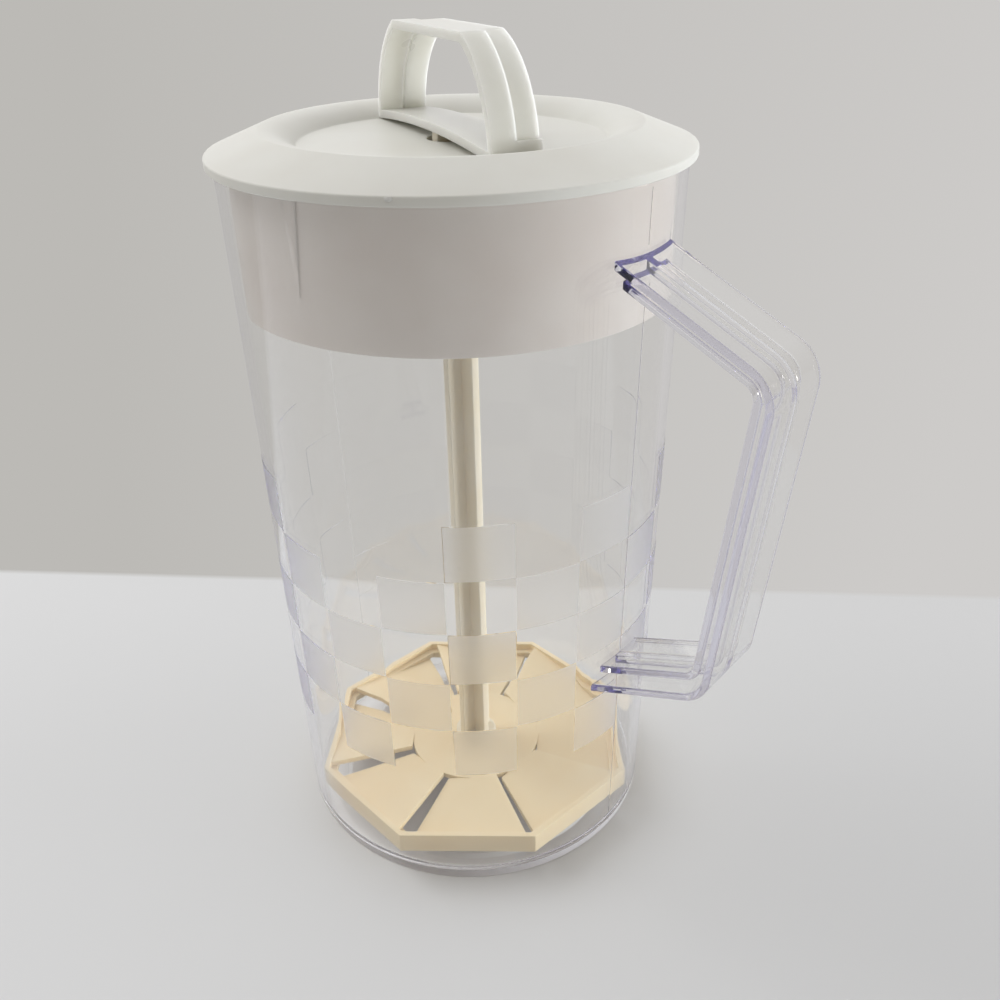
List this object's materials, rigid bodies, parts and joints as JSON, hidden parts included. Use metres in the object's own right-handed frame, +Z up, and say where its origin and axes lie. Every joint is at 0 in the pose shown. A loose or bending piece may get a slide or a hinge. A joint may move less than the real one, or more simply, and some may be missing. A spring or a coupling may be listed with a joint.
{
  "type": "plunger mixing pitcher",
  "caption": "Clear tapered jug with an open I-section handle and pouring lip, a white drop-in lid and a plunger with a slotted stirring plate pumped by a loop grip.",
  "frame": {"origin": "centre of the jug's foot ring, on the surface it stands on", "axes": "+Z up along the jug's axis, +X towards the handle, -X towards the pouring lip"},
  "size_m": [0.1918, 0.14, 0.2667],
  "materials": {
    "clear_wall": "clear plastic with a checkerboard band of frosted squares",
    "clear_handle": "clear plastic, polished",
    "lid_white": "white plastic, satin",
    "collar_white": "white plastic, satin",
    "plate_cream": "cream plastic, satin",
    "rod_cream": "cream plastic, satin",
    "grip_white": "white plastic, satin"
  },
  "bodies": {
    "pitcher": {"pitcher_body": "clear_wall", "pitcher_handle": "clear_handle"},
    "lid": {"lid_top": "lid_white", "lid_collar": "collar_white"},
    "plunger": {"stir_plate": "plate_cream", "plunger_rod": "rod_cream", "plunger_grip": "grip_white"}
  },
  "joints": [
    {"name": "lid_lift", "type": "slide", "parent": "pitcher", "child": "lid", "axis": [0, 0, 1], "range_m": [0, 0.24]},
    {"name": "plunger_slide", "type": "slide", "parent": "lid", "child": "plunger", "axis": [0, 0, 1], "range_m": [0, 0.2]}
  ]
}
